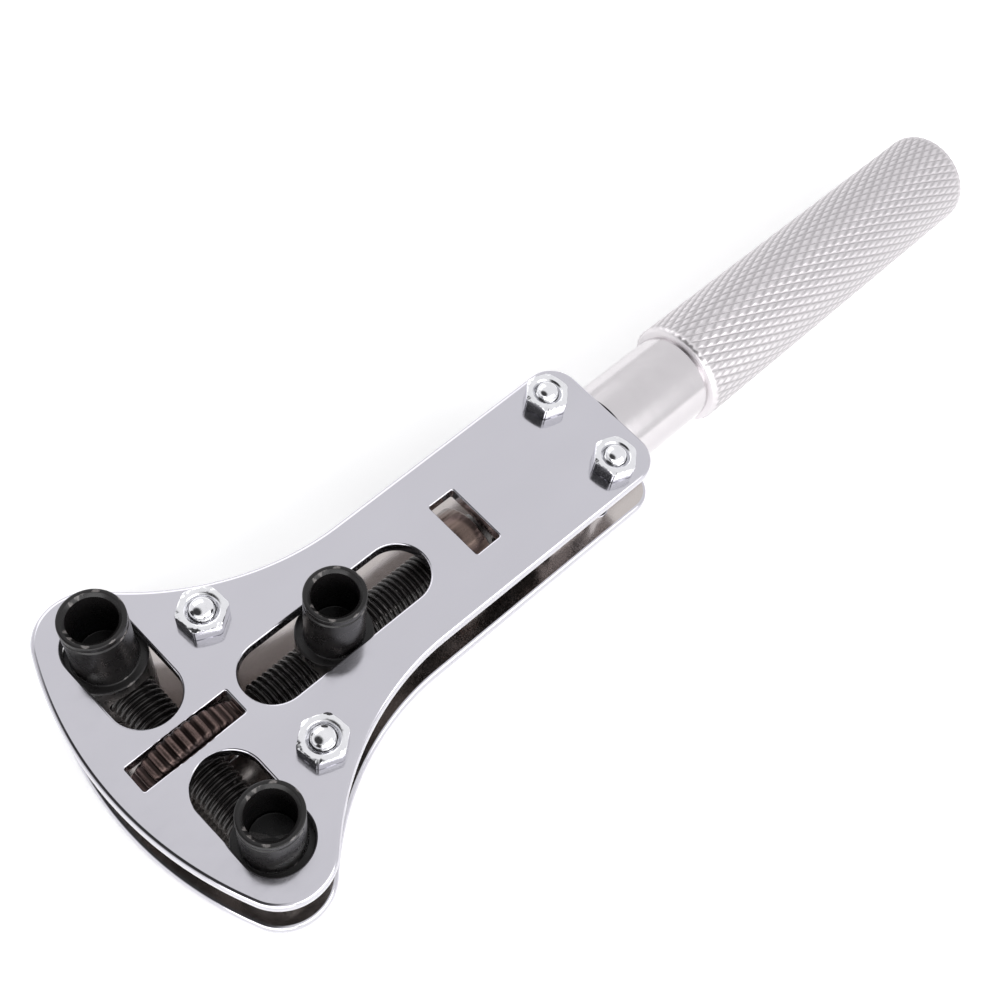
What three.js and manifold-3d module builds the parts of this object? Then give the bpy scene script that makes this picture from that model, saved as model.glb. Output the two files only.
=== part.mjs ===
// Watch case back opener: two fan-shaped plates bolted round a knurled handle. A cross screw with
// opposite threads spreads two posts, and an axial screw moves the third one, each by a thumb wheel.
// Millimetres. +Z is up, out of the plate that the posts stand on, and +Y runs along the handle.
// The origin is on the rear plate's outer face, midway between the axial wheel's window and the
// place of the slot in front of it. Inside the tool group, y is counted from the cross screw's axis.

import * as THREE from 'three';
import { mergeVertices } from 'three/addons/utils/BufferGeometryUtils.js';
import Module from 'manifold-3d';

const wasm = await Module();
wasm.setup();

// ---------------------------------------------------------------- driving dimensions

// plates
const PLATE_T = 2;
const PLATE_GAP = 10;
const EDGE_ROUND = 0.45;
const LOBE_X = 17;
const LOBE_Y = -0.4;
const LOBE_R = 6.2;
const FLANK_R = 35.6;
const BOTTOM_R = 49.3;
const END_Y = 70.7;
const END_HALF_WIDTH = 10.8;
const NECK_TAPER = THREE.MathUtils.degToRad(0.8);
const END_CORNER_R = 4.2;
const REAR_PLATE_EXTRA = 3;

// handle
const GRIP_R = 8;
const GRIP_LENGTH = 68.3;
const GRIP_CHAMFER = 0.9;
const NECK_R = 6.85;
const NECK_LENGTH = 16.7;
const TANG_LENGTH = 14.7;

// bolts, nuts and spacers
const BOLT_R = 1.5;
const BOLT_TIP_HEIGHT = 3.25;
const BOLT_DOME = 0.75;
const HEAD_R = 2.8;
const HEAD_HEIGHT = 2;
const HEAD_SLOT_WIDTH = 0.8;
const HEAD_SLOT_DEPTH = 0.9;
const NUT_ACROSS_FLATS = 5.6;
const NUT_HEIGHT = 2.35;
const NUT_CHAMFER = 0.35;
const SPACER_R = 3;
const FAN_BOLT_INSET = 6.35;
const FAN_BOLT_Y = 10.7;
const END_BOLT_X = 6.55;
const END_BOLT_INSET = 6.1;

// posts
const POST_R = 3.7;
const POST_HEIGHT = 8.4;
const POST_BASE_R = 4.8;
const BEAD_LENGTH = 0.95;
const BEAD_GROOVE = 0.22;
const SOCKET_R = 2.8;
const SOCKET_DEPTH = 9.4;
const SOCKET_CHAMFER = 0.42;
const SIDE_POST_INSET = 2.14;
const TOP_POST_Y = 21.5;
const SLOT_SIDE_GAP = 0.5;
const SLOT_WEB = 1.4;
const SIDE_SLOT_RIM = 3.5;
const TOP_SLOT_TO_WINDOW = 5.2;

// screws and thumb wheels
const THREAD_R = 2.85;
const THREAD_DEPTH = 0.45;
const PITCH = 0.8;
const JOURNAL_STEP = 0.15;
const CROSS_SCREW_OVERHANG = 0.6;
const CROSS_WHEEL_R = 8.2;
const CROSS_WHEEL_WIDTH = 3.2;
const CROSS_WHEEL_TEETH = 40;
const AXIAL_WHEEL_R = 5.2;
const AXIAL_WHEEL_WIDTH = 3.75;
const AXIAL_WHEEL_TEETH = 36;
const AXIAL_WHEEL_Y = 43.1;
const AXIAL_WINDOW_LENGTH = 9;
const CROSS_TOOTH_DEPTH = 0.45;
const AXIAL_TOOTH_DEPTH = 0.15;
const TAIL_R = 2;
const TAIL_IN_TANG = 4.5;

// clearances
const RUNNING_GAP = 0.1;
const SIDE_GAP = 0.2;
const FACE_GAP = 0.05;
const BOLT_GAP = 0.1;
const NUT_MOUTH = 0.45;
const WHEEL_END_GAP = 0.35;

// facets
const ROUND = 32;
const SMALL_ROUND = 20;
const THREAD_SIDES = 16;
const ARC_STEPS = 6;

// ---------------------------------------------------------------- derived sizes

const TOP_Z = 2 * PLATE_T + PLATE_GAP;
const MID_Z = TOP_Z / 2;
const POST_TOP = TOP_Z + POST_HEIGHT;
const BOTTOM_CENTRE_Y = LOBE_Y + Math.sqrt((BOTTOM_R - LOBE_R) ** 2 - LOBE_X ** 2);
const THREAD_BORE_R = THREAD_R + RUNNING_GAP;
const JOURNAL_R = THREAD_R + JOURNAL_STEP;
const WHEEL_BORE_R = JOURNAL_R + FACE_GAP;
const BOLT_HOLE_R = BOLT_R + BOLT_GAP;
const TANG_HALF_T = PLATE_GAP / 2 - FACE_GAP;
const TANG_START_Y = END_Y + FACE_GAP - TANG_LENGTH;
const END_BOLT_Y = END_Y - END_BOLT_INSET;
const FAN_BOLT_X = LOBE_X - FAN_BOLT_INSET;
const SIDE_POST_X = LOBE_X - SIDE_POST_INSET;
const CROSS_SCREW_REACH = SIDE_POST_X + POST_BASE_R + CROSS_SCREW_OVERHANG;
const CROSS_JOURNAL = CROSS_WHEEL_WIDTH / 2 + JOURNAL_STEP;
const AXIAL_SCREW_START_Y = CROSS_WHEEL_R + SLOT_WEB;
const AXIAL_JOURNAL = AXIAL_WHEEL_WIDTH / 2 + JOURNAL_R / 2;

// The cross wheel's window is as long as the wheel is where it passes the plate's inner face.
const CROSS_WHEEL_HALF_CHORD = Math.sqrt(CROSS_WHEEL_R ** 2 - (PLATE_GAP / 2) ** 2);
const CROSS_WINDOW_HALF_Y = CROSS_WHEEL_HALF_CHORD + WHEEL_END_GAP;
const CROSS_WINDOW_HALF_X = CROSS_WHEEL_WIDTH / 2 + SIDE_GAP;
const AXIAL_WINDOW_HALF_X = AXIAL_WINDOW_LENGTH / 2;
const AXIAL_WINDOW_HALF_Y = AXIAL_WHEEL_WIDTH / 2 + SIDE_GAP;

// The slots start a web's width from the cross wheel's window, on their three sides of it.
const SLOT_HALF_WIDTH = POST_R + SLOT_SIDE_GAP;
const SIDE_SLOT_IN = CROSS_WINDOW_HALF_X + SLOT_WEB;
const SIDE_SLOT_OUT = LOBE_X + LOBE_R - SIDE_SLOT_RIM;
const TOP_SLOT_LOW = CROSS_WINDOW_HALF_Y + SLOT_WEB;
const TOP_SLOT_HIGH = AXIAL_WHEEL_Y - AXIAL_WINDOW_HALF_Y - TOP_SLOT_TO_WINDOW;
const ORIGIN_Y = TOP_SLOT_HIGH + TOP_SLOT_TO_WINDOW / 2;

// ---------------------------------------------------------------- materials

const metal = (color, roughness, metalness = 1) =>
  new THREE.MeshStandardMaterial({ color, roughness, metalness });
const platedSteel = metal(0xc8c6cd, 0.22);
const satinAluminium = metal(0xd6d4d3, 0.4);
const brightSteel = metal(0xd9d9dc, 0.15);
const blackedSteel = metal(0x1b191a, 0.42, 0.85);
const brownedSteel = metal(0x33282a, 0.38, 0.85);

// ---------------------------------------------------------------- solids

function toSolid(geometry) {
  const bare = geometry.clone();
  bare.deleteAttribute('normal');
  bare.deleteAttribute('uv');
  const merged = mergeVertices(bare, 1e-4);
  const position = merged.attributes.position.array;
  return new wasm.Manifold(
    new wasm.Mesh({ numProp: 3, vertProperties: position, triVerts: merged.index.array }),
  );
}

function toGeometry(solid) {
  const mesh = solid.getMesh();
  const geometry = new THREE.BufferGeometry();
  const position = new THREE.BufferAttribute(new Float32Array(mesh.vertProperties), 3);
  geometry.setAttribute('position', position);
  geometry.setIndex(new THREE.BufferAttribute(new Uint32Array(mesh.triVerts), 1));
  return geometry;
}

function cut(geometry, ...tools) {
  return toGeometry(tools.reduce((solid, tool) => solid.subtract(toSolid(tool)), toSolid(geometry)));
}

function join(geometry, ...others) {
  return toGeometry(others.reduce((solid, other) => solid.add(toSolid(other)), toSolid(geometry)));
}

// A turned piece round Z from [radius, z] pairs that start and end on the axis, lowest first.
function turned(profile, sides = ROUND) {
  const lathe = new THREE.LatheGeometry(profile.map(([r, z]) => new THREE.Vector2(r, z)), sides);
  return lathe.rotateX(Math.PI / 2);
}

function rod(radius, low, high, sides = ROUND) {
  const cylinder = new THREE.CylinderGeometry(radius, radius, high - low, sides);
  return cylinder.rotateX(Math.PI / 2).translate(0, 0, (low + high) / 2);
}

const alongX = (geometry) => geometry.rotateY(Math.PI / 2);
const alongY = (geometry) => geometry.rotateX(-Math.PI / 2);

function piece(name, geometry, material, x = 0, y = 0, z = 0) {
  const mesh = new THREE.Mesh(geometry, material);
  mesh.name = name;
  mesh.position.set(x, y, z);
  return mesh;
}

// ---------------------------------------------------------------- plates

// The centre of the flank's arc touches the neck's side line and the round of the lobe.
function flankCentre() {
  const down = new THREE.Vector2(-Math.sin(NECK_TAPER), -Math.cos(NECK_TAPER));
  const out = new THREE.Vector2(Math.cos(NECK_TAPER), -Math.sin(NECK_TAPER));
  const start = new THREE.Vector2(END_HALF_WIDTH, END_Y).addScaledVector(out, FLANK_R);
  const fromLobe = start.clone().sub(new THREE.Vector2(LOBE_X, LOBE_Y));
  const half = fromLobe.dot(down);
  const rest = fromLobe.lengthSq() - (FLANK_R + LOBE_R) ** 2;
  return start.addScaledVector(down, -half - Math.sqrt(half ** 2 - rest));
}

// The outline runs anticlockwise: bottom arc, right lobe, right flank, handle end, and mirrored back.
// The rear plate runs on past the front one by an extra length at the handle end.
function plateOutline(extra) {
  const flank = flankCentre();
  const toLobe = Math.atan2(LOBE_Y - flank.y, LOBE_X - flank.x);
  const lobeLow = Math.atan2(LOBE_Y - BOTTOM_CENTRE_Y, LOBE_X);
  const cornerX = END_HALF_WIDTH - END_CORNER_R;
  const cornerY = END_Y + extra - END_CORNER_R;
  const turn = 2 * Math.PI;
  const shape = new THREE.Shape();
  shape.absarc(0, BOTTOM_CENTRE_Y, BOTTOM_R, Math.PI - lobeLow, lobeLow + turn, false);
  shape.absarc(LOBE_X, LOBE_Y, LOBE_R, lobeLow, toLobe + Math.PI, false);
  shape.absarc(flank.x, flank.y, FLANK_R, toLobe + turn, Math.PI - NECK_TAPER, true);
  shape.absarc(cornerX, cornerY, END_CORNER_R, -NECK_TAPER, Math.PI / 2, false);
  shape.absarc(-cornerX, cornerY, END_CORNER_R, Math.PI / 2, Math.PI + NECK_TAPER, false);
  shape.absarc(-flank.x, flank.y, FLANK_R, NECK_TAPER, -Math.PI - toLobe, true);
  shape.absarc(-LOBE_X, LOBE_Y, LOBE_R, -toLobe, Math.PI - lobeLow, false);
  shape.closePath();
  return shape;
}

function roundHole(x, y, radius) {
  const hole = new THREE.Path();
  hole.absarc(x, y, radius, 0, 2 * Math.PI, true);
  return hole;
}

function window(x, y, halfX, halfY) {
  const hole = new THREE.Path();
  hole.moveTo(x - halfX, y - halfY);
  hole.lineTo(x - halfX, y + halfY);
  hole.lineTo(x + halfX, y + halfY);
  hole.lineTo(x + halfX, y - halfY);
  hole.closePath();
  return hole;
}

// A slot with round ends, from its low end to its high end, along X or along Y.
function slot(low, high, vertical) {
  const hole = new THREE.Path();
  const r = SLOT_HALF_WIDTH;
  if (vertical) {
    hole.absarc(0, high - r, r, Math.PI, 0, true);
    hole.absarc(0, low + r, r, 0, -Math.PI, true);
  } else {
    hole.absarc(high - r, 0, r, Math.PI / 2, -Math.PI / 2, true);
    hole.absarc(low + r, 0, r, -Math.PI / 2, -1.5 * Math.PI, true);
  }
  hole.closePath();
  return hole;
}

const BOLT_PLACES = [
  { name: 'end_left', x: -END_BOLT_X, y: END_BOLT_Y, nutTurn: 12.7 },
  { name: 'end_right', x: END_BOLT_X, y: END_BOLT_Y, nutTurn: 9.7 },
  { name: 'fan_left', x: -FAN_BOLT_X, y: FAN_BOLT_Y, nutTurn: 4.6 },
  { name: 'fan_right', x: FAN_BOLT_X, y: FAN_BOLT_Y, nutTurn: 8 },
];

const plateHoles = () => [
  ...BOLT_PLACES.map(({ x, y }) => roundHole(x, y, BOLT_HOLE_R)),
  window(0, 0, CROSS_WINDOW_HALF_X, CROSS_WINDOW_HALF_Y),
  window(0, AXIAL_WHEEL_Y, AXIAL_WINDOW_HALF_X, AXIAL_WINDOW_HALF_Y),
];

const slotHoles = () => [
  slot(-SIDE_SLOT_OUT, -SIDE_SLOT_IN, false),
  slot(SIDE_SLOT_IN, SIDE_SLOT_OUT, false),
  slot(TOP_SLOT_LOW, TOP_SLOT_HIGH, true),
];

function plateGeometry(holes, extra) {
  const outline = plateOutline(extra);
  outline.holes.push(...holes);
  const geometry = new THREE.ExtrudeGeometry(outline, {
    depth: PLATE_T - 2 * EDGE_ROUND,
    bevelEnabled: true,
    bevelThickness: EDGE_ROUND,
    bevelSize: EDGE_ROUND,
    bevelOffset: -EDGE_ROUND,
    bevelSegments: 2,
    curveSegments: ARC_STEPS,
  });
  return geometry.translate(0, 0, EDGE_ROUND);
}

function rearPlate() {
  return piece('rear_plate', plateGeometry(plateHoles(), REAR_PLATE_EXTRA), platedSteel);
}

function frontPlate() {
  const geometry = plateGeometry([...plateHoles(), ...slotHoles()], 0);
  return piece('front_plate', geometry, platedSteel, 0, 0, TOP_Z - PLATE_T);
}

// ---------------------------------------------------------------- handle

// A round bar: its end between the plates has two flats, notches for the end bolts and a bore
// for the tail of the axial screw. The grip is its thick outer end.
function handle() {
  const neckEnd = END_Y + FACE_GAP + NECK_LENGTH;
  const gripEnd = neckEnd + GRIP_LENGTH;
  const bar = alongY(turned([
    [0, TANG_START_Y],
    [NECK_R, TANG_START_Y],
    [NECK_R, neckEnd],
    [GRIP_R - GRIP_CHAMFER / 2, neckEnd],
    [GRIP_R, neckEnd + GRIP_CHAMFER / 2],
    [GRIP_R, gripEnd - GRIP_CHAMFER],
    [GRIP_R - GRIP_CHAMFER, gripEnd],
    [0, gripEnd],
  ]));
  const flats = [[-1, REAR_PLATE_EXTRA], [1, 0]].map(([side, extra]) => {
    const slab = new THREE.BoxGeometry(4 * NECK_R, 2 * TANG_LENGTH, NECK_R);
    const shoulderY = END_Y + extra + FACE_GAP;
    return slab.translate(0, shoulderY - TANG_LENGTH, side * (TANG_HALF_T + NECK_R / 2));
  });
  const notches = [-1, 1].map((side) => {
    const notch = rod(BOLT_HOLE_R + BOLT_GAP, -NECK_R - 1, NECK_R + 1, SMALL_ROUND);
    return notch.translate(side * END_BOLT_X, END_BOLT_Y, 0);
  });
  const tailBore = alongY(rod(
    TAIL_R + RUNNING_GAP,
    TANG_START_Y - 1,
    TANG_START_Y + TAIL_IN_TANG + SIDE_GAP,
    SMALL_ROUND,
  ));
  return piece('handle', cut(bar, ...flats, ...notches, tailBore), satinAluminium, 0, 0, MID_Z);
}

// ---------------------------------------------------------------- bolts, nuts, spacers

function bolt({ name, x, y }) {
  const tip = TOP_Z + BOLT_TIP_HEIGHT;
  const dome = [0.25, 0.5, 0.75].map((share) => {
    const angle = share * Math.PI / 2;
    return [BOLT_R * Math.cos(angle), tip - BOLT_DOME * (1 - Math.sin(angle))];
  });
  const blank = turned([
    [0, -HEAD_HEIGHT],
    [HEAD_R * 0.6, -HEAD_HEIGHT],
    [HEAD_R * 0.88, -HEAD_HEIGHT * 0.8],
    [HEAD_R, -HEAD_HEIGHT * 0.45],
    [HEAD_R, -FACE_GAP],
    [BOLT_R, -FACE_GAP],
    [BOLT_R, tip - BOLT_DOME],
    ...dome,
    [0, tip],
  ], SMALL_ROUND);
  const driverSlot = new THREE.BoxGeometry(3 * HEAD_R, HEAD_SLOT_WIDTH, 2 * HEAD_SLOT_DEPTH);
  driverSlot.rotateZ(Math.PI / 5).translate(0, 0, -HEAD_HEIGHT);
  return piece(`bolt_${name}`, cut(blank, driverSlot), brightSteel, x, y, 0);
}

function nut({ name, x, y, nutTurn }) {
  const corner = NUT_ACROSS_FLATS / Math.sqrt(3);
  const hexagon = new THREE.CylinderGeometry(corner, corner, NUT_HEIGHT, 6);
  hexagon.rotateX(Math.PI / 2).translate(0, 0, NUT_HEIGHT / 2);
  hexagon.rotateZ(THREE.MathUtils.degToRad(nutTurn));
  const blank = turned([
    [0, 0],
    [corner, 0],
    [corner, NUT_HEIGHT - NUT_CHAMFER],
    [corner - 2 * NUT_CHAMFER, NUT_HEIGHT],
    [0, NUT_HEIGHT],
  ]);
  const rounded = toGeometry(toSolid(hexagon).intersect(toSolid(blank)));
  const hole = rod(BOLT_HOLE_R, -1, NUT_HEIGHT + 1, SMALL_ROUND);
  const mouthR = BOLT_HOLE_R + NUT_MOUTH;
  const mouth = new THREE.CylinderGeometry(mouthR, BOLT_HOLE_R, NUT_MOUTH, SMALL_ROUND);
  mouth.rotateX(Math.PI / 2).translate(0, 0, NUT_HEIGHT - NUT_MOUTH / 2 + 0.01);
  const geometry = cut(rounded, hole, mouth);
  return piece(`nut_${name}`, geometry, brightSteel, x, y, TOP_Z + FACE_GAP);
}

function spacer({ name, x, y }) {
  const low = PLATE_T + FACE_GAP;
  const high = TOP_Z - PLATE_T - FACE_GAP;
  const tube = cut(
    rod(SPACER_R, low, high, SMALL_ROUND),
    rod(BOLT_HOLE_R, low - 1, high + 1, SMALL_ROUND),
  );
  return piece(`spacer_${name}`, tube, brightSteel, x, y, 0);
}

// ---------------------------------------------------------------- posts

// Turned in one piece: a wide base that runs between the plates with a threaded bore through it,
// and a tube above, with a bead at its mouth and a socket for a bit. The bore lies along the slot.
function postGeometry(boreAlong) {
  const beadLow = POST_TOP - BEAD_LENGTH;
  const edge = 0.2;
  const blank = turned([
    [0, PLATE_T + SIDE_GAP],
    [POST_BASE_R - edge, PLATE_T + SIDE_GAP],
    [POST_BASE_R, PLATE_T + SIDE_GAP + edge],
    [POST_BASE_R, TOP_Z - PLATE_T - SIDE_GAP],
    [POST_R, TOP_Z - PLATE_T - SIDE_GAP],
    [POST_R, beadLow - 2 * BEAD_GROOVE],
    [POST_R - BEAD_GROOVE, beadLow - BEAD_GROOVE],
    [POST_R, beadLow],
    [POST_R, POST_TOP - edge],
    [POST_R - edge, POST_TOP],
    [SOCKET_R + SOCKET_CHAMFER, POST_TOP],
    [SOCKET_R, POST_TOP - SOCKET_CHAMFER],
    [SOCKET_R, POST_TOP - SOCKET_DEPTH],
    [0, POST_TOP - SOCKET_DEPTH],
  ]);
  const reach = POST_BASE_R + 1;
  const bore = boreAlong(rod(THREAD_BORE_R, -reach, reach, THREAD_SIDES)).translate(0, 0, MID_Z);
  return cut(blank, bore);
}

// ---------------------------------------------------------------- screws and thumb wheels

// A V thread on a bar along Z. Rows of points climb the helix, a crest and a root in each turn,
// and rows past an end are drawn in to the end's edge, where they close the bar.
function threadedBar(low, high, hand) {
  const root = THREAD_R - THREAD_DEPTH;
  const rows = 2 * Math.ceil((high - low) / PITCH) + 4;
  const points = [0, 0, low];
  for (let row = 0; row <= rows; row += 1) {
    for (let side = 0; side < THREAD_SIDES; side += 1) {
      const share = side / THREAD_SIDES;
      const z = low + (row / 2 + share - 1) * PITCH;
      const inside = z > low && z < high;
      const radius = inside && row % 2 === 1 ? THREAD_R : root;
      const angle = 2 * Math.PI * share * hand;
      const height = THREE.MathUtils.clamp(z, low, high);
      points.push(radius * Math.cos(angle), radius * Math.sin(angle), height);
    }
  }
  points.push(0, 0, high);
  const at = (row, side) => {
    const wrapped = row + (side === THREAD_SIDES ? 2 : 0);
    return 1 + Math.min(wrapped, rows) * THREAD_SIDES + (side % THREAD_SIDES);
  };
  const faces = [];
  const face = (a, b, c) => faces.push(...(hand > 0 ? [a, b, c] : [a, c, b]));
  const last = points.length / 3 - 1;
  for (let side = 0; side < THREAD_SIDES; side += 1) {
    face(0, at(0, side + 1), at(0, side));
    face(last, at(rows, side), at(rows, side + 1));
    for (let row = 0; row < rows; row += 1) {
      face(at(row, side), at(row, side + 1), at(row + 1, side + 1));
      face(at(row, side), at(row + 1, side + 1), at(row + 1, side));
    }
  }
  const geometry = new THREE.BufferGeometry();
  geometry.setAttribute('position', new THREE.Float32BufferAttribute(points, 3));
  geometry.setIndex(faces);
  return geometry;
}

// One bar with a right-hand thread on one side of the wheel and a left-hand thread on the other.
function crossScrew() {
  const inner = CROSS_JOURNAL - FACE_GAP;
  const right = threadedBar(inner, CROSS_SCREW_REACH, 1);
  const left = threadedBar(-CROSS_SCREW_REACH, -inner, -1);
  const journal = rod(JOURNAL_R, -CROSS_JOURNAL, CROSS_JOURNAL);
  return piece('cross_screw', alongX(join(right, left, journal)), blackedSteel, 0, 0, MID_Z);
}

// The thread ends in the journal that the wheel sits on, and the tail turns in the handle's end.
function axialScrew() {
  const journalLow = AXIAL_WHEEL_Y - AXIAL_JOURNAL;
  const journalHigh = AXIAL_WHEEL_Y + AXIAL_JOURNAL;
  const thread = threadedBar(AXIAL_SCREW_START_Y, journalLow + FACE_GAP, 1);
  const journal = rod(JOURNAL_R, journalLow, journalHigh);
  const tail = rod(TAIL_R, journalHigh - FACE_GAP, TANG_START_Y + TAIL_IN_TANG, SMALL_ROUND);
  return piece('axial_screw', alongY(join(thread, journal, tail)), blackedSteel, 0, 0, MID_Z);
}

// A thumb wheel with straight ridges along its axis, centred on the origin.
function wheelGeometry(radius, width, teeth, toothDepth) {
  const shape = new THREE.Shape();
  const step = 2 * Math.PI / teeth;
  for (let tooth = 0; tooth < teeth; tooth += 1) {
    for (const [share, depth] of [[0, 0], [0.45, 0], [0.6, toothDepth], [0.85, toothDepth]]) {
      const angle = (tooth + share) * step;
      const r = radius - depth;
      shape[tooth + share > 0 ? 'lineTo' : 'moveTo'](r * Math.cos(angle), r * Math.sin(angle));
    }
  }
  shape.closePath();
  const edge = 0.25;
  const geometry = new THREE.ExtrudeGeometry(shape, {
    depth: width - 2 * edge,
    bevelEnabled: true,
    bevelThickness: edge,
    bevelSize: edge,
    bevelOffset: -edge,
    bevelSegments: 1,
  });
  geometry.translate(0, 0, edge - width / 2);
  return cut(geometry, rod(WHEEL_BORE_R, -width, width));
}

function crossWheel() {
  const geometry = wheelGeometry(
    CROSS_WHEEL_R,
    CROSS_WHEEL_WIDTH,
    CROSS_WHEEL_TEETH,
    CROSS_TOOTH_DEPTH,
  );
  return piece('cross_wheel', alongX(geometry), brownedSteel, 0, 0, MID_Z);
}

function axialWheel() {
  const geometry = wheelGeometry(
    AXIAL_WHEEL_R,
    AXIAL_WHEEL_WIDTH,
    AXIAL_WHEEL_TEETH,
    AXIAL_TOOTH_DEPTH,
  );
  return piece('axial_wheel', alongY(geometry), brownedSteel, 0, AXIAL_WHEEL_Y, MID_Z);
}

// ---------------------------------------------------------------- the tool

const tool = new THREE.Group();
tool.position.y = -ORIGIN_Y;
tool.add(rearPlate(), frontPlate(), handle());
for (const place of BOLT_PLACES) {
  tool.add(bolt(place), nut(place));
  if (place.name.startsWith('fan')) tool.add(spacer(place));
}
tool.add(crossScrew(), crossWheel(), axialScrew(), axialWheel());
tool.add(piece('post_left', postGeometry(alongX), blackedSteel, -SIDE_POST_X));
tool.add(piece('post_right', postGeometry(alongX), blackedSteel, SIDE_POST_X));
tool.add(piece('post_top', postGeometry(alongY), blackedSteel, 0, TOP_POST_Y));

const scene = new THREE.Group();
scene.add(tool);

export default scene;
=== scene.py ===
"""Finished look of a watch case back opener: plates, handle, posts, screws and thumb wheels."""

import math

import bmesh
import bpy
from mathutils import Euler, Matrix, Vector
from mathutils.geometry import tessellate_polygon


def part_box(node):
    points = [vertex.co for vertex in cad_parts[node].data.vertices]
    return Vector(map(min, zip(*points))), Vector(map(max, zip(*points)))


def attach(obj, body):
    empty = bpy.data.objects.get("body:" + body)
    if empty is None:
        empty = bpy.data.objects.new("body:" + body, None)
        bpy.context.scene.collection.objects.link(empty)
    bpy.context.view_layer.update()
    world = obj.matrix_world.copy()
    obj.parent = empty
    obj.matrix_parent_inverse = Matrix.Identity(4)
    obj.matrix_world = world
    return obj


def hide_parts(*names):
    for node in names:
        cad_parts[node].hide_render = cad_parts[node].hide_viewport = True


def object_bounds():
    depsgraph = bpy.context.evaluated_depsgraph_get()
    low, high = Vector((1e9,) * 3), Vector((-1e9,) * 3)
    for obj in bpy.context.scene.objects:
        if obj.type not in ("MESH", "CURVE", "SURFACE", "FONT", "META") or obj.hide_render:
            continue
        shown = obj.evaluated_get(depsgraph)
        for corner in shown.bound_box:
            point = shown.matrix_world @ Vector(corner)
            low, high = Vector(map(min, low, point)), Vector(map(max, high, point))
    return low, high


bl_info = {
    "name": "Case back opener",
    "version": (1, 0, 0),
    "blender": (4, 5, 0),
    "location": "3D View > Sidebar > Opener",
    "description": "Makes a watch case back opener's pieces round its frame, and a plain stage",
    "category": "Object",
}

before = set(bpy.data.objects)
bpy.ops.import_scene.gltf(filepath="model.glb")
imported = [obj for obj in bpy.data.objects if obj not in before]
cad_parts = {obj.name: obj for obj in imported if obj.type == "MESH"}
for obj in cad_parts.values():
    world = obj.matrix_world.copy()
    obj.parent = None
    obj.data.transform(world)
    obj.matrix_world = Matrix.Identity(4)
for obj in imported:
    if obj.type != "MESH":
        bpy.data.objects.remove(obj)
CAD_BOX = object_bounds()

MM = 0.001
TURN = 2 * math.pi

# Room between pieces, as the frame has it.
FACE_GAP = 0.05 * MM
BOLT_GAP = 0.1 * MM
RUNNING_GAP = 0.1 * MM
SIDE_GAP = 0.2 * MM

# Edges sharper than this stay sharp in the light.
SHARP_EDGE = math.radians(35)
# A turned profile stops this far short of its axis.
AXIS_RADIUS = 0.02 * MM


# ---------------------------------------------------------------- places, read from the frame


def middle(node):
    low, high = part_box(node)
    return (low + high) / 2


def span(node):
    low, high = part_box(node)
    return high - low


def upright_axis(node):
    """The place where an upright piece's own axis crosses Z = 0."""
    centre = middle(node)
    return Vector((centre.x, centre.y, 0))


PLATE_LOW, PLATE_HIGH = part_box("front_plate")
REAR_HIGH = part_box("rear_plate")[1]
CROSS_Y = middle("cross_wheel").y
SCREW_Z = middle("cross_wheel").z
BOLT_PLACES = ("end_left", "end_right", "fan_left", "fan_right")
SPACER_PLACES = ("fan_left", "fan_right")
POST_PLACES = ("left", "right", "top")


# ---------------------------------------------------------------- sizes and colours


def length(name, default, description):
    return bpy.props.FloatProperty(
        name=name,
        description=description,
        default=default,
        min=0.0,
        precision=5,
        unit="LENGTH",
    )


def angle(name, default, description):
    return bpy.props.FloatProperty(
        name=name,
        description=description,
        default=default,
        unit="ROTATION",
    )


def count(name, default, description):
    return bpy.props.IntProperty(name=name, description=description, default=default, min=3)


def number(name, default, description):
    return bpy.props.FloatProperty(name=name, description=description, default=default)


def colour(name, default, description):
    return bpy.props.FloatVectorProperty(
        name=name,
        description=description,
        default=default,
        size=3,
        min=0.0,
        max=1.0,
        subtype="COLOR",
    )


class OpenerPlateSizes(bpy.types.PropertyGroup):
    """Sizes of the two plates, as the frame has them, and of their edges"""

    lobe_radius: length("Lobe radius", 6.2 * MM, "Round of each lower corner")
    lobe_drop: length("Lobe drop", 0.4 * MM, "How far a lobe's centre is below the cross screw")
    flank_radius: length("Flank radius", 35.6 * MM, "Hollow curve between a lobe and the neck")
    bottom_radius: length("Bottom radius", 49.3 * MM, "Curve of the wide end")
    end_half_width: length("End half width", 10.8 * MM, "Half the width at the handle")
    end_corner: length("End corner radius", 4.2 * MM, "Round of the corners at the handle")
    neck_taper: angle("Neck taper", math.radians(0.8), "Slope of the neck's sides")
    edge_round: length("Edge round", 0.55 * MM, "Rolled edge of the outline")
    hole_round: length("Hole edge round", 0.22 * MM, "Broken edge of the slots and windows")
    slot_side_gap: length("Slot gap", 0.5 * MM, "Room on each side of a post in its slot")
    slot_web: length("Slot web", 1.4 * MM, "Metal between the cross wheel's window and a slot")
    side_slot_rim: length("Side slot rim", 3.5 * MM, "Metal past the outer end of a side slot")
    top_slot_web: length("Top slot web", 5.2 * MM, "Metal between the top slot and a window")
    window_gap: length("Window gap", 0.2 * MM, "Room beside a wheel in its window")
    axial_window: length("Axial window", 9.0 * MM, "Length of the axial wheel's window")
    window_end_gap: length("Window end gap", 0.35 * MM, "Room past a wheel's rim in its window")
    window_corner: length("Window corner", 0.25 * MM, "Punched corner of a window")


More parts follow.
